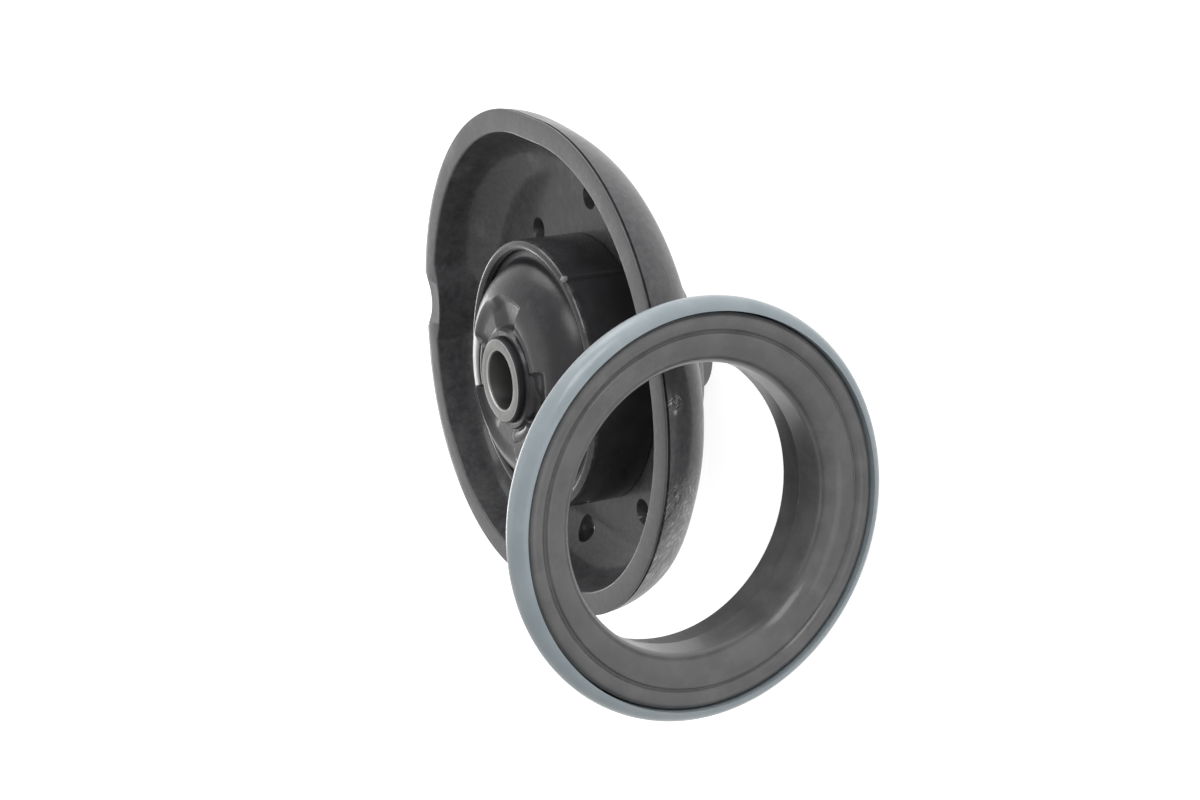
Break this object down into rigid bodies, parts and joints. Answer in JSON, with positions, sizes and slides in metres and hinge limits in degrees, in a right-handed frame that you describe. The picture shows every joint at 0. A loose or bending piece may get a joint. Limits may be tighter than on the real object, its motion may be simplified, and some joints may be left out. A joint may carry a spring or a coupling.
{
  "type": "strut mount",
  "caption": "Top strut mount: a dished moulded cup with a rubber-bonded steel hub, and its ring bearing taken off and leaning on the rim.",
  "frame": {"origin": "where the damper rod's axis crosses the plane of the cup's rim", "axes": "+Z along the damper rod's axis, out of the cup's mouth; -Y towards the bearing beside it"},
  "size_m": [0.1231, 0.144, 0.0888],
  "materials": {
    "cup_moulding": "satin, scuffed",
    "can_steel": "black, semi-gloss",
    "bush_rubber": "smooth, slightly glossy",
    "sleeve_steel": "turned",
    "ring_moulding": "satin",
    "seal_moulding": "satin, blue grey",
    "race_steel": "ground",
    "cage_moulding": "plain",
    "ball_steel": "polished"
  },
  "bodies": {
    "mount": {"seat_cup": "cup_moulding", "hub_can": "can_steel", "rubber_bush": "bush_rubber", "inner_sleeve": "sleeve_steel", "core_plate": "race_steel", "bearing_base_ring": "ring_moulding", "bearing_rim_seal": "seal_moulding", "lower_race": "race_steel"},
    "bearing_top": {"bearing_top_ring": "ring_moulding", "upper_race": "race_steel"},
    "ball_set": {"ball_cage": "cage_moulding", "bearing_ball_01": "ball_steel", "bearing_ball_02": "ball_steel", "bearing_ball_03": "ball_steel", "bearing_ball_04": "ball_steel", "bearing_ball_05": "ball_steel", "bearing_ball_06": "ball_steel", "bearing_ball_07": "ball_steel", "bearing_ball_08": "ball_steel", "bearing_ball_09": "ball_steel", "bearing_ball_10": "ball_steel", "bearing_ball_11": "ball_steel", "bearing_ball_12": "ball_steel", "bearing_ball_13": "ball_steel", "bearing_ball_14": "ball_steel", "bearing_ball_15": "ball_steel", "bearing_ball_16": "ball_steel", "bearing_ball_17": "ball_steel", "bearing_ball_18": "ball_steel", "bearing_ball_19": "ball_steel", "bearing_ball_20": "ball_steel"}
  },
  "joints": [
    {"name": "bearing_spin", "type": "hinge", "parent": "mount", "child": "bearing_top", "pos_m": [-0.0159, -0.07838, 0.00007], "axis": [0, -0.9998, -0.0192], "continuous": true},
    {"name": "ball_orbit", "type": "hinge", "parent": "mount", "child": "ball_set", "pos_m": [-0.0159, -0.07838, 0.00007], "axis": [0, -0.9998, -0.0192], "continuous": true}
  ],
  "couplings": [
    {"joint": "ball_orbit", "follows": "bearing_spin", "ratio": 0.5}
  ]
}
